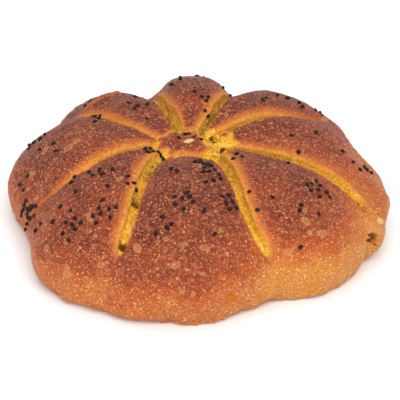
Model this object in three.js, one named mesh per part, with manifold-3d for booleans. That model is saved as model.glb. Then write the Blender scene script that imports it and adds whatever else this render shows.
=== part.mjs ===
// A tear-and-share bread: one round loaf, scored from its middle into eight lobes that are pulled
// apart to serve. Nigella seeds lie on the crust, and three bigger inclusions show through it.
// Millimetres, +Z up. The loaf rests on Z = 0, and the origin is the middle of the bounding box's
// base. Azimuths are degrees anticlockwise from +X, seen from above; -Y is the front.
// Lobe and groove dimensions are measured from the knob that the grooves leave in the middle.

import * as THREE from "three";
import { ParametricGeometry } from "three/addons/geometries/ParametricGeometry.js";
import { mergeVertices } from "three/addons/utils/BufferGeometryUtils.js";
import Module from "manifold-3d";

// ---------------------------------------------------------------- driving dimensions

// Each lobe: the azimuth of its middle, how far it reaches at the belly, and its crest's height.
const LOBES = [
  { azimuth: -187, reach: 101, crest: 56.5 }, // left
  { azimuth: -136, reach: 107.5, crest: 56 }, // front left
  { azimuth: -92, reach: 106.5, crest: 58 }, // front
  { azimuth: -38, reach: 110, crest: 56.5 }, // front right
  { azimuth: -12, reach: 112.5, crest: 50 }, // right
  { azimuth: 42, reach: 109, crest: 54.5 }, // back right
  { azimuth: 78, reach: 99, crest: 60 }, // back
  { azimuth: 132, reach: 104.5, crest: 53.5 }, // back left
];
const LOBE_BLEND = 20; // degrees over which one lobe's numbers give way to the next one's

// Each groove, anticlockwise: its azimuth at the three BEND_RADII, the stretch where the dough tore
// open, half the tear's width, its depth, the depth of the valley around it at mid-radius, and how
// far it notches the outline.
const GROOVES = [
  { bend: [-163, -156, -154], tear: [13, 60], half: 2, depth: 2, valley: 8, notch: 11 },
  { bend: [-130, -116, -112], tear: [14, 97], half: 3.5, depth: 4, valley: 9, notch: 2 },
  { bend: [-46, -61, -62.5], tear: [14, 106], half: 3.5, depth: 4, valley: 9, notch: 11 },
  { bend: [-10, -13, -21.5], tear: [15, 107], half: 3.5, depth: 4, valley: 8, notch: 1 },
  { bend: [28, 32, 24], tear: [13, 66], half: 2, depth: 2, valley: 8, notch: 5 },
  { bend: [60, 65, 67], tear: [13, 80], half: 3.5, depth: 4, valley: 12, notch: 9 },
  { bend: [108, 109, 110], tear: [13, 74], half: 3.5, depth: 4, valley: 12, notch: 9 },
  { bend: [166, 150, 147], tear: [13, 60], half: 2, depth: 2, valley: 8, notch: 4 },
];
const BEND_RADII = [20, 55, 100];
const BEND_LIMITS = [15, 105]; // a groove runs straight out inside and outside these radii
const MEAN_REACH = 106; // turns a share of a lobe's reach into a radius for the bends

const CENTRE_HEIGHT = 50;
const BELLY_HEIGHT = 19; // where the side stands furthest out
const UNDERCUT = 7; // how far the side tucks in from the belly to the table
const RISE_START = 0.1; // where the top starts to rise, and the crest that it rises to,
const CREST_SHARE = 0.4; // as shares of the reach
const SHOULDER_SLOPE = 0.3; // over 0, the shoulder slopes more than a quarter circle's
const TOP_END = 0.35; // shares of the way from the middle of the top to the table:
const BELLY_END = 0.8; // the top runs to TOP_END, and the shoulder from there to BELLY_END
const PILLOW_POWER = 2.9; // over 2, a lobe is flatter across and steeper at its grooves

// The knob in the middle, and the moat round it, placed and sized in shares of the knob's half.
const KNOB = { middleX: -3, half: 12, moatDepth: 4, moatAt: 1.25, moatWidth: 0.35 };

// The grid of the loaf's surface.
const COLUMNS_PER_LOBE = 12;
const RINGS = 40; // from the middle of the top to the table
const BASE_RINGS = 1; // across the flat base
const GROOVE_CROWDING = 0.55; // 0 spaces the columns evenly, 1 crowds them towards the grooves

// Nigella seeds: the azimuth and radius of a cluster's middle, how many, and how far they spread.
const SEED = { length: 2.9, width: 1.9, thick: 1.5 };
const SEED_CLUSTERS = [
  [80, 38, 2, 4], [69, 28, 1, 1], [98, 60, 1, 3], [73, 73, 1, 3], // back
  [127, 48, 2, 8], [152, 63, 1, 2], // back left
  [168, 88, 2, 6], [179, 84, 1, 1], [172, 50, 2, 12], [-158, 94, 3, 4], // left
  [-137, 58, 2, 9], [-124, 59, 2, 6], [-125, 80, 3, 7], [-149, 68, 1, 3], // front left
  [-134, 90, 3, 6], [-139, 97, 1, 3], [-145, 25, 1, 2],
  [-75, 31, 2, 3], [-74, 43, 2, 4], [-91, 70, 3, 7], [-71, 68, 2, 4], // front
  [-99, 87, 1, 3], [-80, 86, 1, 1],
  [-38, 36, 1, 3], [-54, 76, 2, 8], [-32, 83, 3, 6], [-41, 94, 1, 1], // front right
  [-2, 98, 2, 4], [-5, 66, 1, 6], // right
  [44, 65, 1, 4], [40, 86, 2, 6], // back right
  [75, 8, 2, 3], // knob
];
const SEED_SPACING = 4.2; // least distance between two seeds' middles
const SEED_TRIES = 200; // places tried for one cluster

// Inclusions that the crust grew round: their half lengths, and the point of the surface that they
// lie at, seen from straight above (radius) or from the side (height).
const INCLUSIONS = [
  { name: "knob_kernel", half: [3.3, 2.3, 1.2], azimuth: -30, radius: 1.5, colour: 0xdcb26c },
  { name: "side_kernel", half: [2.8, 2.5, 1], azimuth: -20, height: 21, colour: 0xcf9a5c },
  { name: "orange_piece", half: [2.9, 2.5, 1], azimuth: -77, height: 16, colour: 0xd27a0c },
];
const INCLUSION_SHOWS = 0.25; // how far its middle stands out of the crust, of its half thickness
const CLEARANCE = 0.3; // between neighbouring solids

// ---------------------------------------------------------------- small helpers

const smoothstep = THREE.MathUtils.smoothstep;
const radians = THREE.MathUtils.degToRad;

/** An angle in degrees, from -180 up to 180. */
function wrapDegrees(angle) {
  return THREE.MathUtils.euclideanModulo(angle + 180, 360) - 180;
}

/** Numbers from 0 to 1 that are the same in each run. */
function makeRandom(seed) {
  let state = seed;
  return () => {
    state = (state * 1664525 + 1013904223) % 4294967296;
    return state / 4294967296;
  };
}

// ---------------------------------------------------------------- the loaf's surface

/** One of the lobes' numbers, blended round the loaf. */
function lobeValue(azimuth, key) {
  let sum = 0;
  let weights = 0;
  for (const lobe of LOBES) {
    const away = wrapDegrees(azimuth - lobe.azimuth) / LOBE_BLEND;
    const weight = Math.exp(-away * away);
    sum += weight * lobe[key];
    weights += weight;
  }
  return sum / weights;
}

/** A groove's azimuth at a radius: the parabola through its three bend points. */
function grooveAzimuth(groove, radius) {
  const r = THREE.MathUtils.clamp(radius, ...BEND_LIMITS);
  const [r0, r1, r2] = BEND_RADII;
  const [a0, a1, a2] = groove.bend;
  return (
    (a0 * (r - r1) * (r - r2)) / ((r0 - r1) * (r0 - r2)) +
    (a1 * (r - r0) * (r - r2)) / ((r1 - r0) * (r1 - r2)) +
    (a2 * (r - r0) * (r - r1)) / ((r2 - r0) * (r2 - r1))
  );
}

/**
 * The section of a plain round loaf at a share of the way from the middle of its top to the table:
 * the radius as a share of the reach, the height above the belly as a share of the crest's, and
 * the angle that the underside has turned through.
 */
function section(way) {
  if (way < TOP_END) return { out: (CREST_SHARE * way) / TOP_END, up: 1, under: 0 };
  if (way < BELLY_END) {
    const turn = (((way - TOP_END) / (BELLY_END - TOP_END)) * Math.PI) / 2;
    const out = CREST_SHARE + (1 - CREST_SHARE) * Math.sin(turn);
    const up = Math.cos(turn) * (1 - SHOULDER_SLOPE * (1 - Math.cos(turn)));
    return { out, up, under: 0 };
  }
  return { out: 1, up: 0, under: (((way - BELLY_END) / (1 - BELLY_END)) * Math.PI) / 2 };
}

/** The nearest groove, its distance in degrees, and the place across the lobe, from -1 to 1. */
function acrossLobe(azimuth, out) {
  let nearest = GROOVES[0];
  let least = Infinity;
  let clockwise = 360;
  let anticlockwise = 360;
  for (const groove of GROOVES) {
    const away = wrapDegrees(azimuth - grooveAzimuth(groove, MEAN_REACH * out));
    if (Math.abs(away) < least) {
      least = Math.abs(away);
      nearest = groove;
    }
    clockwise = Math.min(clockwise, away >= 0 ? away : away + 360);
    anticlockwise = Math.min(anticlockwise, away < 0 ? -away : 360 - away);
  }
  return { nearest, least, place: (clockwise - anticlockwise) / (clockwise + anticlockwise) };
}

/** The loaf's surface at an azimuth and a share of the way from the top's middle to the table. */
function surfacePoint(azimuth, way, target) {
  const { out, up, under } = section(way);
  const reach = lobeValue(azimuth, "reach");
  const radius = reach * out;
  const { nearest, least, place } = acrossLobe(azimuth, out);

  // Across a lobe: a full pillow on the top, and a gentle wave where it runs down the side.
  const pillow = Math.sqrt(Math.max(0, 1 - Math.abs(place) ** PILLOW_POWER));
  const wave = 0.5 + 0.5 * Math.cos(Math.PI * place);
  const side = smoothstep(out, 0.75, 1);
  const across = THREE.MathUtils.lerp(pillow, wave, side);

  const reachHere = reach + 1.5 - nearest.notch * (1 - wave) * smoothstep(out, 0.3, 1);
  const valley =
    nearest.valley * (0.9 * smoothstep(radius, 6, 45) + 0.35 * smoothstep(radius, 0, 20));
  const rise = (lobeValue(azimuth, "crest") - CENTRE_HEIGHT) * smoothstep(out, RISE_START, CREST_SHARE);
  const top = CENTRE_HEIGHT + rise - valley * (1 - across) * (1 - 0.5 * side);

  // The tear along the groove.
  const [from, to] = nearest.tear;
  const torn = smoothstep(radius, from - 5, from + 6) * (1 - smoothstep(radius, to - 10, to + 4));
  const off = (radians(least) * Math.max(radius, 1)) / nearest.half;
  const tear = nearest.depth * torn * Math.max(0, 1 - off * off) ** 0.75 * smoothstep(up, 0, 0.25);

  // The moat that leaves the knob standing.
  const x = radius * Math.cos(radians(azimuth)) - KNOB.middleX;
  const y = radius * Math.sin(radians(azimuth));
  const ring = (Math.hypot(x, y) / KNOB.half - KNOB.moatAt) / KNOB.moatWidth;
  const moat = KNOB.moatDepth * Math.exp(-ring * ring);

  const r = reachHere * out - UNDERCUT * (1 - Math.cos(under));
  const z =
    under > 0
      ? BELLY_HEIGHT * (1 - Math.sin(under))
      : BELLY_HEIGHT + (top - BELLY_HEIGHT) * up - tear - moat;
  target.set(r * Math.cos(radians(azimuth)), r * Math.sin(radians(azimuth)), Math.max(z, 0));
}

/** The loaf's grid: its columns follow the grooves, and its last rings close the flat base. */
function loafGeometry() {
  const columns = GROOVES.length * COLUMNS_PER_LOBE;
  const rings = RINGS + BASE_RINGS;
  const pointAt = (u, v, target) => {
    const turn = ((1 - u) % 1) * GROOVES.length;
    const first = Math.floor(turn);
    const way = Math.min(1, (v * rings) / RINGS);
    const radius = MEAN_REACH * section(way).out;
    const from = grooveAzimuth(GROOVES[first], radius);
    const to = grooveAzimuth(GROOVES[(first + 1) % GROOVES.length], radius);
    const even = turn - first;
    const crowded = 0.5 - 0.5 * Math.cos(Math.PI * even);
    const share = THREE.MathUtils.lerp(even, crowded, GROOVE_CROWDING);
    surfacePoint(from + THREE.MathUtils.euclideanModulo(to - from, 360) * share, way, target);
    const inwards = Math.max(0, v * rings - RINGS) / BASE_RINGS;
    target.multiplyScalar(1 - inwards);
  };
  return new ParametricGeometry(pointAt, columns, rings);
}

// ---------------------------------------------------------------- solids

const wasm = await Module();
wasm.setup();

/** A mesh as a manifold-3d solid, where it stands. */
function solidOf(mesh) {
  mesh.updateMatrixWorld(true);
  const geometry = mesh.geometry.clone().applyMatrix4(mesh.matrixWorld);
  geometry.deleteAttribute("normal");
  geometry.deleteAttribute("uv");
  const merged = mergeVertices(geometry, 1e-3);
  return new wasm.Manifold(
    new wasm.Mesh({
      numProp: 3,
      vertProperties: merged.attributes.position.array,
      triVerts: new Uint32Array(merged.index.array),
    }),
  );
}

/** A manifold-3d solid as a three.js geometry. */
function geometryOf(solid) {
  const { vertProperties, triVerts } = solid.getMesh();
  const geometry = new THREE.BufferGeometry();
  geometry.setAttribute("position", new THREE.BufferAttribute(vertProperties, 3));
  geometry.setIndex(new THREE.BufferAttribute(triVerts, 1));
  geometry.computeVertexNormals();
  return geometry;
}

/** Where a ray first meets a mesh, or undefined where it misses. */
function meet(mesh, from, towards) {
  const ray = new THREE.Raycaster(from, towards.clone().sub(from).normalize());
  return ray.intersectObject(mesh)[0];
}

/** Stands a mesh on the surface that a ray met: its Z along the normal, turned about it, lifted. */
function setOn(mesh, { point, face }, lift, turn) {
  mesh.quaternion.setFromUnitVectors(new THREE.Vector3(0, 0, 1), face.normal);
  mesh.rotateZ(turn);
  mesh.position.copy(point).addScaledVector(face.normal, lift);
  mesh.updateMatrixWorld(true);
}

// ---------------------------------------------------------------- pieces

const crust = new THREE.MeshStandardMaterial({ color: 0x9c4f26, roughness: 0.6, metalness: 0 });
const nigella = new THREE.MeshStandardMaterial({ color: 0x1c1a1b, roughness: 0.5, metalness: 0 });

/** An inclusion as a flattened ball, larger by a margin all round. */
function inclusionMesh({ name, half, colour }, margin) {
  const geometry = new THREE.SphereGeometry(1, 12, 8);
  geometry.rotateX(Math.PI / 2);
  geometry.scale(...half.map((length) => length + margin));
  const material = new THREE.MeshStandardMaterial({ color: colour, roughness: 0.55, metalness: 0 });
  const mesh = new THREE.Mesh(geometry, material);
  mesh.name = name;
  return mesh;
}

/** The inclusions, and the loaf's solid with a pocket for each. */
function makeInclusions(loaf) {
  let solid = solidOf(loaf);
  const meshes = [];
  for (const inclusion of INCLUSIONS) {
    const { azimuth, radius, height, half } = inclusion;
    const towards = new THREE.Vector3(Math.cos(radians(azimuth)), Math.sin(radians(azimuth)), 0);
    const hit =
      height === undefined
        ? meet(
            loaf,
            towards.clone().multiplyScalar(radius).setZ(200),
            towards.clone().multiplyScalar(radius),
          )
        : meet(loaf, towards.clone().multiplyScalar(200).setZ(height), new THREE.Vector3(0, 0, height));
    const lift = half[2] * INCLUSION_SHOWS;
    const piece = inclusionMesh(inclusion, 0);
    const pocket = inclusionMesh(inclusion, CLEARANCE);
    setOn(piece, hit, lift, radians(azimuth));
    setOn(pocket, hit, lift, radians(azimuth));
    solid = solid.subtract(solidOf(pocket));
    meshes.push(piece);
  }
  return { meshes, solid };
}

/** The nigella seeds, each lying on the crust, clear of it and of the inclusions. */
function makeSeeds(loaf, inclusions) {
  const others = [loaf, ...inclusions].map(solidOf);
  const random = makeRandom(7);
  const geometry = new THREE.OctahedronGeometry(1, 1);
  geometry.scale(SEED.length / 2, SEED.width / 2, SEED.thick / 2);
  const seeds = [];
  for (const [azimuth, radius, count, spread] of SEED_CLUSTERS) {
    const middle = new THREE.Vector2(radius, 0).rotateAround(new THREE.Vector2(), radians(azimuth));
    let placed = 0;
    for (let tries = 0; placed < count && tries < SEED_TRIES; tries += 1) {
      const away = new THREE.Vector2(spread * Math.sqrt(random()), 0);
      const spot = away.rotateAround(new THREE.Vector2(), 2 * Math.PI * random()).add(middle);
      const above = new THREE.Vector3(spot.x, spot.y, 200);
      const hit = meet(loaf, above, above.clone().setZ(0));
      if (!hit) continue;
      if (seeds.some((seed) => seed.position.distanceTo(hit.point) < SEED_SPACING)) continue;
      const seed = new THREE.Mesh(geometry, nigella);
      setOn(seed, hit, SEED.thick / 2 + CLEARANCE, 2 * Math.PI * random());
      if (others.some((other) => other.intersect(solidOf(seed)).volume() > 0)) continue;
      placed += 1;
      seeds.push(seed);
      seed.name = `nigella_seed_${String(seeds.length).padStart(2, "0")}`;
    }
  }
  return seeds;
}

const bread = new THREE.Group();
const whole = new THREE.Mesh(loafGeometry(), crust);
const inclusions = makeInclusions(whole);
const loaf = new THREE.Mesh(geometryOf(inclusions.solid), crust);
loaf.name = "loaf";
bread.add(loaf, ...inclusions.meshes, ...makeSeeds(whole, inclusions.meshes));

// The origin moves from under the knob to the middle of the bounding box's base.
const box = new THREE.Box3().setFromObject(bread);
bread.position.set(-(box.min.x + box.max.x) / 2, -(box.min.y + box.max.y) / 2, 0);
bread.updateMatrixWorld(true);

export default bread;
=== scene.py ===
"""Tear-and-share bread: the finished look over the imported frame.

The loaf is shaped in millimetres, measured from the knob that the grooves leave in its middle, and
is then set into its CAD solid's box, in metres. Azimuths are degrees anticlockwise from +X, seen
from above, and -Y is the front.
"""

import itertools
import math

import bmesh
import bpy
import numpy as np
from mathutils import Matrix, Vector
from mathutils.bvhtree import BVHTree


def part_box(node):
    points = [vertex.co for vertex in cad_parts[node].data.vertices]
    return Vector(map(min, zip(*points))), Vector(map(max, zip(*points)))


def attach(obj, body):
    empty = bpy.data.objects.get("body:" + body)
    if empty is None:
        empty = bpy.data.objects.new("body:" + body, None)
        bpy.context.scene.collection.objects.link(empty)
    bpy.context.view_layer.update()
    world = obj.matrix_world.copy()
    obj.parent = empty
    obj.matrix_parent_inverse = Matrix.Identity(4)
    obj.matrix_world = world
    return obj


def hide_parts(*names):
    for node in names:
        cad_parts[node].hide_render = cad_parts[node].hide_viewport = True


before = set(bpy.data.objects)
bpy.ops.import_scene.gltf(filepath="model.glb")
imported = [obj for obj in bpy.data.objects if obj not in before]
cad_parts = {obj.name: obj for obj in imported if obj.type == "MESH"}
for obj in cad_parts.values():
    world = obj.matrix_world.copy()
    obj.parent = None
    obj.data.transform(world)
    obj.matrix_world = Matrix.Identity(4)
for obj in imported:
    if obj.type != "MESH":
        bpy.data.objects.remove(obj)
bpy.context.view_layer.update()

MM = 0.001
RNG = np.random.default_rng(11)

# ---------------------------------------------------------------- the loaf's dimensions

# Each lobe: the azimuth of its middle, how far it reaches at the belly, and its crest's height.
LOBES = np.array(
    [
        (-187, 101, 56.5),  # left
        (-136, 107.5, 56),  # front left
        (-92, 106.5, 58),  # front
        (-38, 110, 56.5),  # front right
        (-12, 112.5, 50),  # right
        (42, 109, 54.5),  # back right
        (78, 99, 60),  # back
        (132, 104.5, 53.5),  # back left
    ]
)
LOBE_BLEND = 20  # degrees over which one lobe's numbers give way to the next one's

# Each groove, anticlockwise: its azimuth at the three BEND_RADII, the stretch where the dough tore
# open, half the tear's width near the knob and near the rim, its depth, the valley's depth around
# it, and the outline's notch.
GROOVES = {
    "left": ((-163, -156, -154), (13, 60), (1.2, 1.2), 1.5, 8, 11),
    "front_left": ((-130, -116, -112), (14, 97), (3.2, 2.5), 2.4, 9, 2),
    "front_right": ((-46, -61, -62.5), (14, 106), (3.0, 2.4), 2.4, 9, 11),
    "right": ((-10, -13, -21.5), (15, 107), (1.6, 3.6), 3.2, 8, 1),
    "back_right_low": ((28, 32, 24), (13, 66), (1.4, 1.4), 1.5, 8, 5),
    "back_right": ((60, 65, 67), (13, 80), (2.0, 2.6), 2, 12, 9),
    "back_left": ((108, 109, 110), (13, 74), (2.6, 2.4), 2, 12, 9),
    "back_left_low": ((166, 150, 147), (13, 60), (1, 1), 1.5, 8, 4),
}
BEND_RADII = (20, 55, 100)
BEND_LIMITS = (15, 105)  # a groove runs straight out inside and outside these radii
MEAN_REACH = 106  # the reach of the loaf that the BEND_RADII are given for

CENTRE_HEIGHT = 50
BELLY_HEIGHT = 19  # where the side stands furthest out
UNDERCUT = 7  # how far the side curls in under the belly
LOBE_SWELL = 1.5  # how far a lobe stands out past its own number
RISE_START = 0.1  # where the top starts to rise, and the crest that it rises to,
CREST_SHARE = 0.4  # as shares of the reach
SHOULDER_SLOPE = 0.3
TOP_END = 0.35  # shares of the way from the middle of the top to the table
BELLY_END = 0.8
SIDE_START = 0.7  # the share of the reach past which a spot lies on the side
PILLOW_POWER = 2.9  # over 2, a lobe is flatter across and steeper at its grooves

KNOB_MIDDLE = (-3, 0)
KNOB_HALF = (12, 11.5)
KNOB_MOAT = 3.5  # how deep the moat round the knob is, and how high the knob's dome
KNOB_DOME = 1.5
TORN_MIDDLE = (4, -1.5)  # of the torn patch that the knob stands in
TORN_HALF = (23, 15.5)

LIP_HEIGHT = 0.6  # of the dough that curls up along a tear
LINE_HALVES = (0.8, -5.2)  # half the pale line's width past a tear's end, and under 0 once closed
LINE_CLOSES = (62, 112)  # the radii between which that line closes
BAND_WIDTH = 1.3  # of the golden band beside a tear
BAND_FRONT = 5  # how much wider the band is on a wall that faces the front

SKIN_RINGS = 140  # of the mesh, from the middle of the top to the table
BASE_RINGS = (0.97, 0.8, 0.4)  # across the underside, as shares of its outline
BOX_RINGS = 60  # of the plainer mesh that is measured against the CAD solid's box

# Holes in the crumb, dug in and painted dark as shade: the groove, the radius, how far
# anticlockwise of the groove's middle, half the length and width, and the depth.
PITS = [
    ("front_left", 60, 0, (5, 2.6), 5),
    ("front_left", 90, 0, (4.5, 1.9), 3.5),
    ("right", 102, 1.5, (4, 2.4), 2.5),
    ("right", 21, 0, (5, 1.2), 3),
    ("back_right", 50, 0, (3, 1.5), 3),
    ("back_right_low", 17, 0, (2, 1.4), 3),
]

# Holes in the rim, dug in and painted dark as shade: azimuth, height, half the width and height, and
# the depth.
RIM_PITS = [(-25.5, 18, (2.4, 4.5), 4), (-160, 18, (4, 2), 2.5)]

# Flakes that stand out: azimuth, radius, half the length, half the width, tint, how far they rise.
# A tint runs from pale brown at 0 to tan at 0.5, grey green at 0.9 and red brown at 1.
FLAKES = [
    (133, 74, 13, 3.2, 1, 1.8),
    (72, 21, 4, 1.6, 1, 0.3),
    (-86, 61, 2, 1.5, 1, 0.3),
    (-33, 55, 2.6, 1.5, 1, 0.3),
    (-84, 92, 3, 2, 0.2, 0.4),
    (-97, 88, 2, 1.4, 0.4, 0.4),
    (-67, 102, 2.8, 2.2, 0.5, 0.5),
    (-45, 100, 3.2, 1.8, 0.4, 0.4),
    (-56, 97, 2.6, 2, 0.5, 0.4),
    (-179, 80, 3.4, 2, 0.3, 0.4),
    (-116, 101, 2.4, 1.8, 0.6, 0.5),
    (-127, 85, 2.8, 2, 0.3, 0.4),
    (-50, 45, 1.8, 1.3, 0.9, 0.5),
    (175, 66, 2, 1.4, 0.9, 0.5),
    (-14, 70, 2.6, 1.7, 0.3, 0.4),
]
SMALL_FLAKES = 260  # how many more lie at random
SMALL_FLAKE_RISE = 0.3
SMALL_FLAKE_REACH = 6  # further than any of them reaches from its middle

# Lumps and hollows in the rim: azimuth, height, half the width, half the height, how far they
# stand out.
RIM_LUMPS = [
    (-22, 13, 12, 9, 5.2),
    (-10, 20, 10, 9, 2),
    (-66, 10, 8, 7, 1.8),
    (-79, 8, 9, 7, -1.2),
    (-104, 8, 12, 7, 2.4),
    (-118, 6, 16, 6, 1.6),
    (-27.5, 15, 3.5, 14, -3.5),
    (-140, 10, 12, 7, 1.5),
    (52, 11, 9, 6, 1.5),
    (6, 32, 20, 14, -4.5),
    (28, 34, 12, 12, 3),
    (65, 42, 8, 14, -4.5),
    (75, 46, 9, 12, 2),
    (101, 44, 9, 12, 1.2),
    (111, 42, 8, 14, -5),
    (143, 34, 12, 12, -3),
]

# Where the side stays golden: azimuth, height, half the width, half the height, how much.
GOLDEN = [(-25, 19, 7, 12, 0.5), (-58, 10, 16, 9, 0.2), (-62, 20, 4, 9, 0.2)]


# ---------------------------------------------------------------- numbers


def smoothstep(value, low, high):
    """0 below low and 1 above high, smoothly."""
    share = np.clip((value - low) / (high - low), 0, 1)
    return share * share * (3 - 2 * share)


def wrap_degrees(angle):
    """An angle from -180 up to 180."""
    return (angle + 180) % 360 - 180


def polar(azimuth, radius):
    """The point at an azimuth and a radius, at the height 0."""
    turn = math.radians(azimuth)
    return np.array([radius * math.cos(turn), radius * math.sin(turn), 0])


def lattice(cells, seed):
    """A value from -1 to 1 for each whole-numbered cell, from a hash of its place."""
    x, y, z = cells.T
    mixed = x * 73856093 ^ y * 19349663 ^ z * 83492791 ^ seed * 7919
    mixed = (mixed ^ (mixed >> 13)) * 1274126177
    mixed = mixed ^ (mixed >> 16)
    return (mixed & 0xFFFF) / 32767.5 - 1


def noise(points, size, seed):
    """Smooth noise from -1 to 1 at each point, with features of about that size."""
    scaled = points / size
    cells = np.floor(scaled).astype(np.int64)
    part = scaled - cells
    part = part * part * (3 - 2 * part)
    total = np.zeros(len(points))
    for corner in itertools.product((0, 1), repeat=3):
        weights = np.where(corner, part, 1 - part).prod(axis=1)
        total += weights * lattice(cells + np.array(corner), seed)
    return total


# ---------------------------------------------------------------- the loaf's shape


def lobe_value(azimuth, column):
    """One of the lobes' numbers, blended round the loaf."""
    away = wrap_degrees(azimuth[:, None] - LOBES[:, 0]) / LOBE_BLEND
    weights = np.exp(-(away**2))
    return weights @ LOBES[:, column] / weights.sum(axis=1)


def groove_azimuth(bend, radius):
    """A groove's azimuth at a radius: the parabola through its three bend points."""
    return np.polyval(np.polyfit(BEND_RADII, bend, 2), np.clip(radius, *BEND_LIMITS))


def section(way):
    """The plain loaf's radius and height as shares, and how far its side has turned under.

    The way runs from 0 at the middle of the top to 1 at the table, and the turn is in radians.
    """
    turn = np.clip((way - TOP_END) / (BELLY_END - TOP_END), 0, 1) * math.pi / 2
    under = np.clip((way - BELLY_END) / (1 - BELLY_END), 0, 1) * math.pi / 2
    crest = CREST_SHARE * np.minimum(way / TOP_END, 1)
    out = crest + (1 - CREST_SHARE) * np.sin(turn)
    up = np.cos(turn) * (1 - SHOULDER_SLOPE * (1 - np.cos(turn)))
    return out, up, under


def across_lobes(azimuth, out):
    """The nearest groove's row, the degrees past it, and the place across the lobe, -1 to 1."""
    bends = [groove_azimuth(groove[0], MEAN_REACH * out) for groove in GROOVES.values()]
    away = wrap_degrees(azimuth - np.array(bends))
    nearest = np.abs(away).argmin(axis=0)
    clockwise = np.where(away >= 0, away, away + 360).min(axis=0)
    anticlockwise = np.where(away < 0, -away, 360 - away).min(axis=0)
    place = (clockwise - anticlockwise) / (clockwise + anticlockwise)
    degrees = np.take_along_axis(away, nearest[None], axis=0)[0]
    return nearest, degrees, place


def groove_numbers(nearest):
    """The nearest groove's tear, two half widths, depth, valley and notch, for each point."""
    rows = np.array([(*tear, *halves, *rest) for _, tear, halves, *rest in GROOVES.values()])
    return rows[nearest].T


def plain_surface(azimuth, way):
    """The loaf's lobes and valleys, with the tears still closed."""
    out, up, under = section(way)
    reach = lobe_value(azimuth, 1)
    radius = reach * out
    nearest, _, place = across_lobes(azimuth, out)
    valley, notch = groove_numbers(nearest)[5:]

    # Across a lobe: a full pillow on the top, and a gentle wave where it runs down the side.
    pillow = np.sqrt(np.clip(1 - np.abs(place) ** PILLOW_POWER, 0, 1))
    wave = 0.5 + 0.5 * np.cos(math.pi * place)
    side = smoothstep(out, 0.75, 1)
    across = pillow + (wave - pillow) * side

    reach = reach + LOBE_SWELL - notch * (1 - wave) * smoothstep(out, 0.3, 1)

    # The valleys deepen away from the knob, and halve where they run down the side.
    valley = valley * (0.9 * smoothstep(radius, 6, 45) + 0.35 * smoothstep(radius, 0, 20))
    rise = (lobe_value(azimuth, 2) - CENTRE_HEIGHT) * smoothstep(out, RISE_START, CREST_SHARE)
    top = CENTRE_HEIGHT + rise - valley * (1 - across) * (1 - 0.5 * side)

    r = reach * out - UNDERCUT * (1 - np.cos(under))
    above = BELLY_HEIGHT + (top - BELLY_HEIGHT) * up
    z = np.where(under > 0, BELLY_HEIGHT * (1 - np.sin(under)), above)
    turn = np.radians(azimuth)
    return np.stack([r * np.cos(turn), r * np.sin(turn), z], axis=1)


def skin_grid(rings):
    """A disc of quads on concentric squares: each point's azimuth and way, the quads, the rim."""
    steps = np.arange(-rings, rings + 1)
    a, b = (axis.ravel() for axis in np.meshgrid(steps, steps, indexing="ij"))
    ring = np.maximum(np.abs(a), np.abs(b))
    flat = np.where(ring == 0, 1, ring)
    sideways = np.where(a < 0, 180, 0) + 45 * b / np.where(a == 0, flat, a)
    lengthways = np.where(b < 0, 270, 90) - 45 * a / np.where(b == 0, flat, b)
    azimuth = wrap_degrees(np.where(np.abs(a) >= np.abs(b), sideways, lengthways))
    count = 2 * rings + 1
    corner = np.arange(count - 1)[:, None] * count + np.arange(count - 1)
    quads = np.stack([corner, corner + count, corner + count + 1, corner + 1], axis=-1)
    rim = np.flatnonzero(ring == rings)
    rim = rim[np.argsort(azimuth[rim])]
    return azimuth, ring / rings, quads.reshape(-1, 4), rim


def make_mesh(name, points, faces):
    """A smooth-shaded mesh object of points in metres."""
    mesh = bpy.data.meshes.new(name)
    mesh.from_pydata([tuple(point) for point in points], [], [tuple(face) for face in faces])
    mesh.shade_smooth()
    built = bpy.data.objects.new(name, mesh)
    bpy.context.scene.collection.objects.link(built)
    return built


def vertex_normals(mesh):
    """The mesh's vertex normals, one row each."""
    normals = np.empty(3 * len(mesh.vertices), dtype=np.float32)
    mesh.vertex_normals.foreach_get("vector", normals)
    return normals.reshape(-1, 3).astype(float)


def set_attribute(mesh, name, values):
    """Stores a number for each vertex, which a material reads by name."""
    attribute = mesh.attributes.new(name, "FLOAT", "POINT")
    attribute.data.foreach_set("value", values.astype(np.float32))


def oval(points, normals, middle, along, half):
    """How far each point lies from a spot of the surface, 1 on the edge of an oval round it."""
    nearest = np.linalg.norm(points - middle, axis=1).argmin()
    normal = normals[nearest]
    along = along - normal * (along @ normal)
    along = along / np.linalg.norm(along)
    across = np.cross(normal, along)
    away = points - points[nearest]
    parts = [away @ along / half[0], away @ across / half[1], away @ normal / sum(half)]
    return np.sqrt(sum(part**2 for part in parts))


def top_spot(points, azimuth, radius):
    """The point of the top that is nearest to an azimuth and a radius."""
    x, y, z = points.T
    across, along, _ = polar(azimuth, radius)
    away = np.hypot(x - across, y - along)
    return points[np.where(z > BELLY_HEIGHT, away, np.inf).argmin()]


def side_spot(points, azimuth, height):
    """The point of the side that is nearest to an azimuth and a height."""
    x, y, z = points.T
    turn = wrap_degrees(np.degrees(np.arctan2(y, x)) - azimuth)
    away = np.abs(turn) * 2 + np.abs(z - height)  # a degree of the side is about 2 mm long
    return points[np.where(np.hypot(x, y) < SIDE_START * MEAN_REACH, np.inf, away).argmin()]


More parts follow.
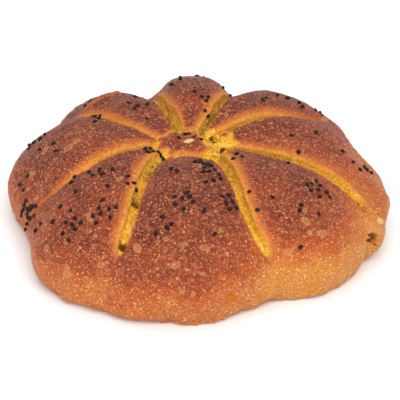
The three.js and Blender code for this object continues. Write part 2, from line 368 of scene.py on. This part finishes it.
def tears(azimuth, way, points):
    """The tears' depth, the lips' height, and how far each point is from the torn edge.

    That field, the edge, is in millimetres inside the tear, where it is under 0. Outside it runs
    from 0 to 1 across the golden band, which is wider on the walls that face the front.
    """
    out, up, _ = section(way)
    radius = lobe_value(azimuth, 1) * out
    nearest, degrees, _ = across_lobes(azimuth, out)
    start, end, half, far_half, depth, _, _ = groove_numbers(nearest)

    # A tear opens and closes over a few millimetres, and its edges wander.
    half = half + (far_half - half) * smoothstep(radius, 20, 90)
    torn = smoothstep(radius, start - 5, start + 6) * (1 - smoothstep(radius, end - 7, end + 3))
    away = np.radians(np.abs(degrees)) * np.maximum(radius, 1)
    ragged = 1 + 0.22 * noise(points, 6, 1) + 0.15 * noise(points, 2.5, 2)
    share = away / (half * ragged)
    gone = depth * torn * (1 - smoothstep(share, 0.5, 1.1)) * smoothstep(up, 0, 0.25)
    lip = LIP_HEIGHT * torn * np.exp(-(((share - 1.35) / 0.3) ** 2)) * smoothstep(radius, 12, 25)

    # Past the tear's end a thin pale line still follows the valley, and closes before the rim.
    open_line, closed_line = LINE_HALVES
    line = open_line + (closed_line - open_line) * smoothstep(radius, *LINE_CLOSES)
    outside = away - (line + (half - line) * torn) * ragged
    facing_front = np.sign(degrees) * np.cos(np.radians(azimuth))
    band = BAND_WIDTH + BAND_FRONT * smoothstep(facing_front, -0.1, 0.5)
    return gone, lip, np.where(outside > 0, outside / band, outside)


def knob_and_moat(points):
    """The moat's depth round the knob, and the edges of the torn patch and of the knob in it.

    Both edges are fields like the one of the tears: under 0 in the crumb, and over 0 in the crust.
    """
    wander = 1 + 0.22 * noise(points, 5, 3) + 0.08 * noise(points, 2, 23)
    knob = np.linalg.norm((points[:, :2] - KNOB_MIDDLE) / KNOB_HALF, axis=1) * wander - 1
    patch = np.linalg.norm((points[:, :2] - TORN_MIDDLE) / TORN_HALF, axis=1) * wander - 1
    gone = KNOB_MOAT * smoothstep(knob, -0.05, 0.3) * (1 - smoothstep(patch, -0.25, 0.15))

    # The knob is a lumpy dome, and the torn patch round it is lumpy too.
    gone -= (KNOB_DOME + 1.6 * noise(points, 6, 25)) * smoothstep(-knob, 0, 0.6)
    gone -= 0.9 * noise(points, 3.5, 20) * (1 - smoothstep(patch, -0.3, 0))

    # Round the knob the dough is golden, and only towards the right does crumb show.
    golden = 0.05 - 0.8 * smoothstep(points[:, 0], 8, 16) + 0.5 * noise(points, 3, 24)
    return gone, np.maximum(patch * 9, golden), np.clip(0.5 - knob * 4.5, -1, 1.4)


def groove_spot(bend, radius):
    """A groove's middle at a real radius, since its bends are given for the mean reach."""
    turn = float(groove_azimuth(bend, radius))
    nominal = radius * MEAN_REACH / lobe_value(np.array([turn]), 1)[0]
    return polar(float(groove_azimuth(bend, nominal)), radius)


def pits(points, normals):
    """The holes in crumb and rim: their painted shade, 1 in each middle, and how deep they go."""
    spots = []
    for name, radius, aside, half, depth in PITS:
        bend = GROOVES[name][0]
        along = groove_spot(bend, radius + 1) - groove_spot(bend, radius - 1)
        middle = groove_spot(bend, radius) + np.cross((0, 0, 1), along / 2) * aside
        turn = math.degrees(math.atan2(middle[1], middle[0]))
        spot = top_spot(points, turn, math.hypot(middle[0], middle[1]))
        spots.append((spot, along, half, depth))
    for turn, height, half, depth in RIM_PITS:
        spots.append((side_spot(points, turn, height), polar(turn + 90, 1), half, depth))
    pit_shade = np.zeros(len(points))
    gone = np.zeros(len(points))
    for spot, along, half, depth in spots:
        reach = oval(points, normals, spot, along, half)
        hole = 1 - smoothstep(reach + 0.7 * noise(points, 1.7, 4), 0.3, 1)
        pit_shade = np.maximum(pit_shade, hole)
        gone += depth * hole
    return pit_shade, gone


def build_skin():
    """The loaf's points, faces and surface fields, in millimetres."""
    azimuth, way, quads, rim = skin_grid(SKIN_RINGS)
    points = plain_surface(azimuth, way)
    mesh = make_mesh("skin_shape", points, quads).data
    normals = vertex_normals(mesh)

    gone, lip, edge = tears(azimuth, way, points)
    moat, patch_edge, knob_edge = knob_and_moat(points)
    edge = np.maximum(np.minimum(edge, patch_edge), knob_edge)
    crumb = 1 - smoothstep(edge, -0.6, 0.3)
    lift = lip - np.where(knob_edge < 0, np.maximum(gone, moat), moat)

    pit_shade, depth = pits(points, normals)
    lift -= depth

    for turn, height, half_width, half_height, bulge in RIM_LUMPS:
        spot = side_spot(points, turn, height)
        reach = oval(points, normals, spot, polar(turn + 90, 1), (half_width, half_height))
        lift += bulge * np.exp(-(reach**2))

    # Dimples, wrinkles and blisters of the crust, and the open crumb of the tears.
    lift += (0.9 * noise(points, 24, 5) + 0.5 * noise(points, 10, 6)) * smoothstep(edge, 0, 2)
    fine = 0.25 * noise(points, 4, 7) + 0.2 * (1 - 2 * np.abs(noise(points, 2.6, 8)))
    fine += 0.12 * noise(points, 1.8, 16)
    rough = 0.45 * noise(points, 3.2, 9) + 0.32 * noise(points, 1.6, 10)
    lift += fine * (1 - crumb) + rough * crumb

    flake, tint, rise = scatter_flakes(points, normals, edge)
    lift += rise

    # The displacement ends at the table, where the outline is a little ragged instead.
    grounded = smoothstep(points[:, 2], 0, 4)
    moved = points + normals * (lift * grounded)[:, None]
    ragged = 1 + 0.016 * noise(points, 9, 12) + 0.01 * noise(points, 2.5, 13)
    moved[:, :2] *= (1 + (ragged - 1) * (1 - smoothstep(points[:, 2], 2, 12)))[:, None]
    moved[:, 2] = np.maximum(moved[:, 2], 0)
    bpy.data.meshes.remove(mesh)
    fields = {"edge": edge, "pit_shade": pit_shade, "flake": flake, "tint": tint}
    return moved, quads, rim, fields


def scatter_flakes(points, normals, edge):
    """Flakes of bran and seed: each point's place in the nearest one, its tint and its rise."""
    flake = np.full(len(points), 2.0)
    tint = np.zeros(len(points))

    # Small ones at random on the crust, from 2 to 6 mm long, most of them short.
    outside = np.flatnonzero((edge > 1.2) & (points[:, 2] > 3))
    for index in RNG.choice(outside, SMALL_FLAKES, replace=False):
        half = (1 + 2.2 * RNG.uniform() ** 2) * np.array([1, RNG.uniform(0.55, 0.85)])
        turn = RNG.uniform(0, 2 * math.pi)
        along = np.array([math.cos(turn), math.sin(turn), 0.2])
        near = np.flatnonzero(np.abs(points - points[index]).max(axis=1) < SMALL_FLAKE_REACH)
        reach = oval(points[near], normals[near], points[index], along, half)
        reach = reach + 0.12 * noise(points[near], 1.5, 14)
        closer = reach < flake[near]
        flake[near[closer]] = reach[closer]
        tint[near[closer]] = RNG.uniform(0, 0.8)
    rise = SMALL_FLAKE_RISE * np.sqrt(np.clip(1 - flake, 0, 1))

    # The ones in the table lie over them.
    for azimuth, radius, half_length, half_width, colour, height in FLAKES:
        spot = top_spot(points, azimuth, radius)
        reach = oval(points, normals, spot, polar(azimuth + 70, 1), (half_length, half_width))
        reach = reach + 0.25 * noise(points, 0.6 * half_width, 22)
        closer = reach < np.minimum(flake, 1.4)
        flake[closer] = reach[closer]
        tint[closer] = colour
        rise += height * (1 - smoothstep(reach, 0.6, 1.2))
    return np.minimum(flake, 2.0), tint, rise


def base_faces(points, rim):
    """Closes the underside: rings inside the rim's outline, and a last fan."""
    middle = np.append(points[rim][:, :2].mean(axis=0), 0)
    loops = [rim]
    added = []
    for share in BASE_RINGS:
        loops.append(len(points) + len(rim) * len(added) + np.arange(len(rim)))
        added.append(middle + (points[rim] - middle) * share * (1, 1, 0))
    faces = []
    for outer, inner in itertools.pairwise(loops):
        faces += [(outer[i - 1], inner[i - 1], inner[i], outer[i]) for i in range(len(rim))]
    last = len(points) + len(rim) * len(added)
    faces += [(loops[-1][i - 1], last, loops[-1][i]) for i in range(len(rim))]
    return np.vstack([*added, middle]), faces


# ---------------------------------------------------------------- materials


class Shader:
    """A material's node tree, built one node at a time."""

    def __init__(self, name):
        self.material = bpy.data.materials.new(name)
        self.material.use_nodes = True
        self.tree = self.material.node_tree
        self.surface = self.tree.nodes["Principled BSDF"]

    def feed(self, socket, value):
        """Links an output to a socket, or sets the socket to a plain value."""
        if isinstance(value, bpy.types.NodeSocket):
            self.tree.links.new(value, socket)
        else:
            socket.default_value = value

    def node(self, kind, inputs, output=0, **settings):
        """A node's output, with its inputs fed and its settings set."""
        made = self.tree.nodes.new(kind)
        for name, value in settings.items():
            setattr(made, name, value)
        for name, value in inputs.items():
            self.feed(made.inputs[name], value)
        return made.outputs[output]

    def place(self):
        """The object's coordinates in millimetres."""
        at = self.node("ShaderNodeTexCoord", {}, "Object")
        return self.node("ShaderNodeVectorMath", {0: at, 1: (1 / MM,) * 3}, operation="MULTIPLY")

    def field(self, name):
        """A number that the mesh stores for each vertex."""
        return self.node("ShaderNodeAttribute", {}, "Fac", attribute_name=name)

    def noise(self, at, size, detail=2.0, shift=0.0):
        """Noise from 0 to 1 with features of about that size in millimetres."""
        moved = self.node("ShaderNodeVectorMath", {0: at, 1: (shift, shift, shift)})
        inputs = {"Vector": moved, "Scale": 1 / size, "Detail": detail}
        return self.node("ShaderNodeTexNoise", inputs)

    def dots(self, at, size, inner, outer, shift):
        """1 in dots that lie about that size apart, and 0 between them."""
        bend = self.node("ShaderNodeTexNoise", {"Vector": at, "Scale": 1.2 / size}, "Color")
        moved = self.node("ShaderNodeVectorMath", {0: bend, 1: (size,) * 3}, operation="MULTIPLY")
        moved = self.node("ShaderNodeVectorMath", {0: at, 1: moved})
        moved = self.node("ShaderNodeVectorMath", {0: moved, 1: (shift, shift, shift)})
        inputs = {"Vector": moved, "Scale": 1 / size}
        away = self.node("ShaderNodeTexVoronoi", inputs, "Distance")
        return self.math("SUBTRACT", 1, self.ramp(away, inner, outer))

    def math(self, operation, a, b, c=0.0):
        """One sum on two or three values."""
        return self.node("ShaderNodeMath", {0: a, 1: b, 2: c}, operation=operation)

    def ramp(self, value, low, high):
        """0 below low and 1 above high, smoothly."""
        inputs = {"Value": value, "From Min": low, "From Max": high}
        return self.node("ShaderNodeMapRange", inputs, interpolation_type="SMOOTHSTEP")

    def colours(self, value, stops):
        """A colour from a run of (value, colour) stops between 0 and 1."""
        made = self.tree.nodes.new("ShaderNodeValToRGB")
        elements = made.color_ramp.elements
        while len(elements) < len(stops):
            elements.new(0.5)
        for element, (at, colour) in zip(elements, stops):
            element.position = at
            element.color = srgb(*colour)
        self.feed(made.inputs[0], value)
        return made.outputs[0]

    def mix(self, share, a, b):
        """Colour a where the share is 0, and colour b where it is 1."""
        return self.node("ShaderNodeMix", {0: share, 6: a, 7: b}, 2, data_type="RGBA")

    def bump(self, height, distance):
        """The normal over relief of a height from 0 to 1, which stands for that many millimetres."""
        inputs = {"Height": height, "Distance": distance * MM, "Strength": 1.0}
        return self.node("ShaderNodeBump", inputs)


def srgb(*colour):
    """A red, green and blue from 0 to 255 as the linear colour that a shader takes."""
    linear = []
    for part in colour:
        share = part / 255
        linear.append(share / 12.92 if share < 0.04 else ((share + 0.055) / 1.055) ** 2.4)
    return (*linear, 1)


# Each colour table runs over its own value from 0 to 1: how brown the crust is, with painted light
# from the right in it, for the first three, a flake's tint for the fourth, and the grain of the
# crumb for the last.
CRUST_COLOURS = [
    (0.0, (214, 132, 44)),
    (0.25, (203, 112, 41)),
    (0.5, (186, 84, 34)),
    (0.75, (146, 58, 29)),
    (1.0, (98, 38, 24)),
]
PORE_COLOURS = [(0.1, (166, 80, 28)), (0.6, (108, 40, 24))]
BLISTER_COLOURS = [(0.2, (255, 220, 150)), (0.5, (252, 180, 112)), (0.95, (236, 150, 100))]
FLAKE_COLOURS = [
    (0.0, (206, 132, 78)),
    (0.5, (218, 160, 96)),
    (0.8, (196, 146, 78)),
    (0.9, (112, 92, 50)),
    (0.98, (168, 70, 24)),
]
CRUMB_COLOURS = [
    (0.25, (198, 128, 20)),
    (0.4, (224, 158, 30)),
    (0.55, (240, 184, 54)),
    (0.7, (252, 222, 136)),
]


def baked_crust(shader, at):
    """The bare crust: its colour, where it has blisters, and its fine grain."""
    # From golden low on the sides to reddish brown on the crests.
    drift = shader.math("MULTIPLY_ADD", shader.noise(at, 16), 0.5, -0.25)
    patch = shader.math("MULTIPLY_ADD", shader.noise(at, 4.5, 4, 31), 0.36, -0.18)
    baked_and_lit = shader.math("ADD", shader.math("ADD", shader.field("bake_and_light"), drift), patch)
    crust = shader.colours(baked_and_lit, CRUST_COLOURS)

    # Dark pores, and paler mottling over them.
    grain = shader.noise(at, 1.15, 3, 7)
    pores = shader.math("SUBTRACT", 1, shader.ramp(grain, 0.38, 0.52))
    pore = shader.colours(baked_and_lit, PORE_COLOURS)
    crust = shader.mix(shader.math("MULTIPLY", pores, 0.45), crust, pore)
    mottled = shader.ramp(shader.noise(at, 2.4, 5, 37), 0.5, 0.66)
    crust = shader.mix(shader.math("MULTIPLY", mottled, 0.35), crust, srgb(214, 122, 76))

    # Pale blisters: small ones everywhere, and large ones, about 2 mm apart, in some places.
    small = shader.ramp(shader.noise(at, 0.66, 2, 13), 0.56, 0.68)
    large = shader.dots(at, 2.0, 0.12, 0.42, 47)
    here = shader.ramp(shader.noise(at, 1.3, 2, 53), 0.42, 0.56)
    large = shader.math("MULTIPLY", large, here)
    blister = shader.colours(baked_and_lit, BLISTER_COLOURS)
    crust = shader.mix(shader.math("MULTIPLY", small, 0.85), crust, blister)
    crust = shader.mix(shader.math("MULTIPLY", large, 0.9), crust, blister)
    return crust, shader.math("MAXIMUM", small, large), grain


def with_flakes(shader, at, crust):
    """The crust with flakes of bran and seed just under its skin, palest round their rims."""
    flake = shader.math("MULTIPLY_ADD", shader.noise(at, 1.4, 3, 17), 0.5, shader.field("flake"))
    tint = shader.field("tint")
    flakes = shader.colours(tint, FLAKE_COLOURS)
    inside = shader.math("SUBTRACT", 1, shader.ramp(flake, 1.05, 1.35))
    rim = shader.math("MULTIPLY", shader.ramp(flake, 0.75, 1.05), inside)
    strong = shader.math("MULTIPLY_ADD", shader.ramp(tint, 0.82, 0.9), 0.42, 0.34)
    crust = shader.mix(shader.math("MULTIPLY", inside, strong), crust, flakes)
    return shader.mix(shader.math("MULTIPLY", rim, 0.2), crust, srgb(232, 168, 108))


def torn_open(shader, at, border, crust, blisters):
    """Colour across a torn edge: crumb, gold, orange, then crust; holes get painted shade."""
    crumb = shader.colours(shader.noise(at, 1.6, 5, 19), CRUMB_COLOURS)
    gold = shader.mix(shader.noise(at, 2.4, 3, 11), srgb(216, 132, 40), srgb(236, 168, 74))
    orange = shader.mix(blisters, srgb(198, 104, 40), srgb(228, 156, 88))
    colour = shader.mix(shader.ramp(border, -0.5, 0.15), crumb, gold)
    colour = shader.mix(shader.ramp(border, 0.0, 0.5), colour, orange)
    colour = shader.mix(shader.ramp(border, 0.3, 1.1), colour, crust)
    # Painted shade: the holes in the crumb and the rim are painted dark brown.
    hole = shader.ramp(shader.field("pit_shade"), 0.1, 0.7)
    return shader.mix(shader.math("MULTIPLY", hole, 0.85), colour, srgb(84, 36, 10))


def crust_material():
    """Baked crust with speckles and flakes, giving way to yellow crumb where the dough tore."""
    shader = Shader("crust")
    at = shader.place()
    crust, blisters, grain = baked_crust(shader, at)
    crust = with_flakes(shader, at, crust)
    ragged = shader.math("MULTIPLY_ADD", shader.noise(at, 1.8, 4, 3), 0.7, -0.35)
    border = shader.math("ADD", shader.field("edge"), ragged)
    colour = torn_open(shader, at, border, crust, blisters)

    # The underside is floury and pale brown.
    floury = shader.mix(shader.noise(at, 5, 5, 23), srgb(176, 112, 60), srgb(214, 168, 112))
    colour = shader.mix(shader.field("under"), colour, floury)
    shader.feed(shader.surface.inputs["Base Color"], colour)

    # Crumb is dull, and crust a little glossy.
    torn = shader.math("SUBTRACT", 1, shader.ramp(border, -0.3, 0.6))
    gloss = shader.math("MULTIPLY_ADD", shader.noise(at, 3, 3, 41), 0.25, 0.33)
    roughness = shader.math("MAXIMUM", gloss, shader.math("MULTIPLY", torn, 0.85))
    shader.feed(shader.surface.inputs["Roughness"], roughness)

    relief = shader.math("MULTIPLY_ADD", blisters, 0.4, grain)
    shader.feed(shader.surface.inputs["Normal"], shader.bump(relief, 1.0))
    shader.surface.inputs["Specular IOR Level"].default_value = 0.16
    shader.surface.inputs["Sheen Weight"].default_value = 0.08
    shader.surface.inputs["Sheen Roughness"].default_value = 0.35
    shader.surface.inputs["Sheen Tint"].default_value = srgb(236, 206, 206)
    return shader.material


def seed_material():
    """Nigella: a black skin with a fine grain and little shine."""
    shader = Shader("nigella")
    at = shader.place()
    speck = shader.noise(at, 0.35, 4)
    colour = shader.colours(speck, [(0.3, (12, 8, 7)), (0.6, (36, 24, 19)), (0.8, (74, 50, 38))])
    shader.feed(shader.surface.inputs["Base Color"], colour)
    shader.feed(shader.surface.inputs["Roughness"], shader.math("MULTIPLY_ADD", speck, 0.3, 0.45))
    shader.feed(shader.surface.inputs["Normal"], shader.bump(speck, 0.12))
    shader.surface.inputs["Specular IOR Level"].default_value = 0.2
    return shader.material


def inclusion_material(name, light, dark):
    """A kernel or a piece of vegetable, darker in its wrinkles."""
    shader = Shader(name)
    at = shader.place()
    wrinkle = shader.noise(at, 1.1, 5)
    shader.feed(shader.surface.inputs["Base Color"], shader.mix(wrinkle, srgb(*dark), srgb(*light)))
    shader.feed(shader.surface.inputs["Roughness"], shader.math("MULTIPLY_ADD", wrinkle, 0.3, 0.35))
    shader.feed(shader.surface.inputs["Normal"], shader.bump(wrinkle, 0.3))
    shader.surface.inputs["Specular IOR Level"].default_value = 0.2
    return shader.material


def floor_material():
    """A floor that is nearly white, and dull."""
    shader = Shader("floor")
    soft = shader.noise(shader.place(), 300)
    tone = shader.mix(soft, srgb(246, 246, 246), srgb(250, 250, 250))
    shader.feed(shader.surface.inputs["Base Color"], tone)
    shader.surface.inputs["Roughness"].default_value = 0.9
    shader.surface.inputs["Specular IOR Level"].default_value = 0.1
    return shader.material


# ---------------------------------------------------------------- the loaf


def knob_place(points):
    """The shift, in millimetres, from the knob's own coordinates into the frame."""
    low, high = (np.array(corner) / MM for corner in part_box("loaf"))
    shift = (low + high) / 2 - (points.min(axis=0) + points.max(axis=0)) / 2
    return np.array([shift[0], shift[1], low[2]])


def how_baked_and_lit(points, normals, fields):
    """0 where the crust stays golden, 1 where it is brownest.

    It is brownest high up where it faces up, and golden along the tears. Low at the right it is
    paler, partly as painted light from the right.
    """
    facing_up = smoothstep(normals[:, 2], -0.1, 0.95)
    high = smoothstep(points[:, 2], 6, 50)
    low = 1 - smoothstep(points[:, 2], 12, 52)
    # Partly painted light: paler low towards the right, as if lit from that side.
    to_right = points[:, 0] / MEAN_REACH
    baked_and_lit = 0.36 + 0.26 * facing_up + 0.32 * high - 0.04 * to_right
    baked_and_lit += 0.1 * smoothstep(points[:, 1], 0, 60)
    baked_and_lit -= 0.42 * smoothstep(to_right, 0, 0.8) * low
    baked_and_lit -= 0.15 * (1 - smoothstep(fields["edge"], 0, 4))
    for azimuth, height, half_width, half_height, strength in GOLDEN:
        spot = side_spot(points, azimuth, height)
        reach = oval(points, normals, spot, polar(azimuth + 90, 1), (half_width, half_height))
        baked_and_lit -= strength * np.exp(-(reach**2))
    baked_and_lit += 0.12 * noise(points, 30, 15)
    return baked_and_lit


def build_loaf():
    """The loaf's skin and underside as one closed mesh."""
    points, quads, rim, fields = build_skin()
    base, base_quads = base_faces(points, rim)
    everything = np.vstack([points, base])
    azimuth, way, _, _ = skin_grid(BOX_RINGS)
    shift = knob_place(plain_surface(azimuth, way))
    loaf = make_mesh("loaf_crust", (everything + shift) * MM, [*quads, *base_quads])
    normals = vertex_normals(loaf.data)[: len(points)]
    fields["bake_and_light"] = how_baked_and_lit(points, normals, fields)
    for name, values in fields.items():
        filler = values[rim].mean()
        set_attribute(loaf.data, name, np.append(values, np.full(len(base), filler)))
    under = np.append(1 - smoothstep(points[:, 2], 0, 1.5), np.ones(len(base)))
    set_attribute(loaf.data, "under", under)
    loaf.data.materials.append(crust_material())
    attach(loaf, "root")
    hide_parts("loaf")
    return loaf, shift


# ---------------------------------------------------------------- seeds and inclusions


# A seed's rings from end to end: where each lies, as a share of the length, and its width, as a
# share of the seed's.
SEED_RINGS = [(-0.5, 0.12), (-0.36, 0.62), (-0.1, 1.0), (0.16, 0.95), (0.36, 0.66), (0.48, 0.3)]
SEED_LENGTHS = (2.7, 3.5)
SEED_HALF_WIDTH = 1.22
SEED_HALF_HEIGHT = 0.95
SEED_SWAY = 0.12
SEED_WORN = 0.84  # the width at a worn edge, as a share of the width at a sharp one
SEED_UNEVEN = (0.9, 1.1)  # the shares by which its corners stand in or out at random
SEED_BEVEL = 0.12
SEED_LIFTS = (0.1, 0.7)  # of a seed's middle over the crust: the lowest are half sunk in it
SEED_TILT = 0.15  # radians, the usual tilt


def seed_form():
    """One nigella seed along X, in metres: a wedge with three or four worn edges."""
    length = RNG.uniform(*SEED_LENGTHS)
    count = 2 * RNG.choice([3, 4])
    around = 2 * math.pi * np.arange(count) / count
    worn = np.where(np.arange(count) % 2 == 0, 1.0, SEED_WORN)
    points = []
    for along, width in SEED_RINGS:
        size = width * worn * RNG.uniform(*SEED_UNEVEN, count)
        y = SEED_HALF_WIDTH * size * np.cos(around)
        z = SEED_HALF_HEIGHT * size * np.sin(around) + SEED_SWAY * math.sin(along * 5)
        points.append(np.stack([np.full(count, length * along), y, z], axis=1))
    faces = [tuple(range(count))[::-1]]
    for first in range(0, (len(SEED_RINGS) - 1) * count, count):
        for side in range(count):
            following = (side + 1) % count
            corners = (side, following, count + following, count + side)
            faces.append(tuple(first + corner for corner in corners))
    faces.append(tuple(range((len(SEED_RINGS) - 1) * count, len(SEED_RINGS) * count)))
    return np.vstack(points) * MM, faces


def resting(point, normal, turn, tilt, lift):
    """The matrix that lays a form on the crust: its Z along the normal, turned, tipped, lifted."""
    across = Vector((0, 0, 1)).rotation_difference(normal).to_matrix().to_4x4()
    spin = Matrix.Rotation(turn, 4, "Z") @ Matrix.Rotation(tilt, 4, "Y")
    return Matrix.Translation(point + normal * lift) @ across @ spin


# Seeds beyond the CAD solids: a cluster's azimuth, radius, count and spread.
SEED_CLUSTERS = [
    (96, 60, 3, 5), (75, 38, 3, 3), (71, 72, 2, 4), (69, 29, 1, 1), (88, 82, 3, 9),
    (127, 42, 2, 6), (148, 63, 2, 6), (136, 32, 1, 1), (140, 84, 3, 9), (118, 62, 2, 5),
    (168, 89, 4, 6), (-179, 74, 2, 9), (-170, 93, 3, 5), (-155, 94, 5, 4), (-146, 98, 2, 4),
    (-147, 24, 3, 4), (-136, 61, 3, 9), (-123, 56, 2, 5), (-124, 80, 5, 8), (-148, 69, 2, 7),
    (-131, 93, 5, 7), (-142, 82, 2, 7), (-74, 43, 4, 4), (-69, 49, 2, 2), (-99, 43, 2, 3),
    (-89, 70, 5, 9), (-70, 67, 4, 5), (-98, 80, 3, 5), (-78, 54, 2, 5), (-39, 36, 2, 4),
    (-56, 60, 1, 4), (-31, 84, 6, 7), (-46, 82, 2, 6), (-52, 98, 1, 1), (-25, 62, 1, 6),
    (7, 62, 1, 5), (0, 102, 2, 4), (4, 90, 1, 4), (45, 62, 1, 5), (43, 80, 3, 6),
    (35, 95, 3, 5), (11, 75, 1, 1), (60, 88, 3, 8), (65, 9, 2, 3), (180, 5, 1, 1),
    (20, 8, 1, 1),
]
SEED_SPACING = 3.3  # between the middles of two seeds, at least

# Where seeds lie heaped: a clump's azimuth, radius, count and spread.
SEED_CLUMPS = [
    (-78, 31, 5, 2.5), (-72, 36, 5, 3), (-158, 93, 5, 2), (-163, 94.5, 5, 2), (-139, 20, 3, 2),
    (1, 103, 3, 2.5),
]
CLUMP_SPACING = 1.9
SEED_TRIES = 20  # places tried for each seed of a cluster
ABOVE_THE_LOAF = 0.2  # metres


def seed_spots(skin, shift):
    """Where seeds lie: by their CAD solids first, and then in the clusters between them."""
    spots = []
    cad_seeds = [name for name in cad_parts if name.startswith("nigella_seed")]
    for name in cad_seeds:
        low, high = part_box(name)
        point, normal, _, _ = skin.find_nearest((Vector(low) + Vector(high)) / 2)
        spots.append((point, normal))
    clusters = [(*row, SEED_SPACING) for row in SEED_CLUSTERS]
    clusters += [(*row, CLUMP_SPACING) for row in SEED_CLUMPS]
    for azimuth, radius, count, spread, spacing in clusters:
        wanted = len(spots) + count
        for _ in range(SEED_TRIES * count):
            away = polar(RNG.uniform(0, 360), spread * math.sqrt(RNG.uniform()))
            above = Vector((polar(azimuth, radius) + away + shift) * MM)
            above.z = ABOVE_THE_LOAF
            point, normal, _, _ = skin.ray_cast(above, Vector((0, 0, -1)))
            if point is None or len(spots) == wanted:
                continue
            if all((point - other).length > spacing * MM for other, _ in spots):
                spots.append((point, normal))
    return spots, cad_seeds


def build_seeds(skin, shift):
    """All the nigella seeds as one piece, each lying on the crust or partly sunk in it."""
    spots, cad_seeds = seed_spots(skin, shift)
    points = []
    faces = []
    for point, normal in spots:
        form, sides = seed_form()
        lift = RNG.uniform(*SEED_LIFTS) * MM
        turn = RNG.uniform(0, 2 * math.pi)
        rest = resting(point, normal, turn, RNG.normal(0, SEED_TILT), lift)
        faces += [tuple(len(points) + corner for corner in face) for face in sides]
        points += [tuple(rest @ Vector(corner)) for corner in form]
    seeds = make_mesh("nigella_seeds", points, faces)
    seeds.data.shade_flat()
    bevel = seeds.modifiers.new("worn_edges", "BEVEL")
    bevel.width = SEED_BEVEL * MM
    bevel.segments = 1
    seeds.data.materials.append(seed_material())
    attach(seeds, "root")
    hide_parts(*cad_seeds)


DROP_TAPER = 0.25
DROP_LUMPS = 0.05
DROP_LIFT = 0.2  # of its middle over the crust, as a share of half its height


def drop_form(half):
    """A drop of those half lengths in millimetres: narrower at one end, and a little lumpy."""
    form = bmesh.new()
    bmesh.ops.create_icosphere(form, subdivisions=4, radius=1)
    ball = np.array([vertex.co for vertex in form.verts])
    faces = [tuple(vertex.index for vertex in face.verts) for face in form.faces]
    form.free()
    points = ball * half
    points[:, 1] *= 1 - DROP_TAPER * ball[:, 0]
    return points * (1 + DROP_LUMPS * noise(points, 1.5, 21)[:, None]), faces


def build_inclusion(name, skin, half, turn, material):
    """A kernel or a piece of vegetable that the crust holds, in its CAD solid's place."""
    low, high = (Vector(corner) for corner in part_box(name))
    point, normal, _, _ = skin.find_nearest((low + high) / 2)
    points, faces = drop_form(half)
    built = make_mesh(name + "_form", points * MM, faces)
    built.matrix_world = resting(point, normal, turn, 0, half[2] * DROP_LIFT * MM)
    built.data.materials.append(material)
    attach(built, "root")
    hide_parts(name)


# ---------------------------------------------------------------- the stage


FLOOR_CORNERS = [(-3, -3, 0), (3, -3, 0), (3, 3, 0), (-3, 3, 0)]
WORLD_STRENGTH = 0.6

# Each softbox: its place from the middle of the view, its size and its power.
SOFTBOXES = {
    "key": ((0.15, -0.6, 0.75), 0.7, 6.8),
    "top": ((-0.1, 0.3, 0.9), 0.9, 3.2),
    "fill": ((-0.7, -0.6, 0.4), 0.6, 1.5),
}

SENSOR_WIDTH = 36
LENS = 137.7
CAMERA_HEIGHT = math.radians(33)  # its angle over the table, seen from the middle of the view
CAMERA_DISTANCE = 0.85

# The middle of the view: to the right of the knob, in front of it, and over the table.
VIEW_RIGHT = 0.0073
VIEW_FORWARD = 0.026
VIEW_HEIGHT = 0.028


def build_stage(target):
    """A pale floor, soft studio light and the camera."""
    floor = make_mesh("floor", FLOOR_CORNERS, [(0, 1, 2, 3)])
    floor.data.materials.append(floor_material())

    world = bpy.data.worlds.new("studio")
    world.use_nodes = True
    background = world.node_tree.nodes["Background"]
    background.inputs["Color"].default_value = (0.97, 0.98, 1, 1)
    background.inputs["Strength"].default_value = WORLD_STRENGTH
    bpy.context.scene.world = world

    for name, (away, size, power) in SOFTBOXES.items():
        light = bpy.data.lights.new(name, "AREA")
        light.size = size
        light.energy = power
        placed = bpy.data.objects.new(name, light)
        placed.location = target + Vector(away)
        placed.rotation_euler = Vector(away).to_track_quat("Z", "Y").to_euler()
        bpy.context.scene.collection.objects.link(placed)

    camera = bpy.data.cameras.new("camera")
    camera.sensor_width = SENSOR_WIDTH
    camera.lens = LENS
    placed = bpy.data.objects.new("camera", camera)
    away = Vector((0, -math.cos(CAMERA_HEIGHT), math.sin(CAMERA_HEIGHT)))
    placed.location = target + away * CAMERA_DISTANCE
    placed.rotation_euler = away.to_track_quat("Z", "Y").to_euler()
    bpy.context.scene.collection.objects.link(placed)
    bpy.context.scene.camera = placed
    bpy.context.scene.view_settings.view_transform = "Standard"


def main():
    """Builds the bread, and the stage round it."""
    loaf, shift = build_loaf()
    skin = BVHTree.FromObject(loaf, bpy.context.evaluated_depsgraph_get())
    build_seeds(skin, shift)
    pale = inclusion_material("pale_kernel", (232, 196, 128), (196, 146, 82))
    toasted = inclusion_material("toasted_kernel", (230, 184, 122), (192, 134, 78))
    orange = inclusion_material("orange_flesh", (200, 116, 2), (160, 80, 0))
    build_inclusion("knob_kernel", skin, (3.3, 2.3, 1.2), 0.6, pale)
    build_inclusion("side_kernel", skin, (2.3, 2.1, 1.0), 0.3, toasted)
    build_inclusion("orange_piece", skin, (2.9, 2.5, 1.0), 0.4, orange)
    knob = Vector(shift * MM)
    build_stage(Vector((knob.x + VIEW_RIGHT, knob.y - VIEW_FORWARD, VIEW_HEIGHT)))


main()
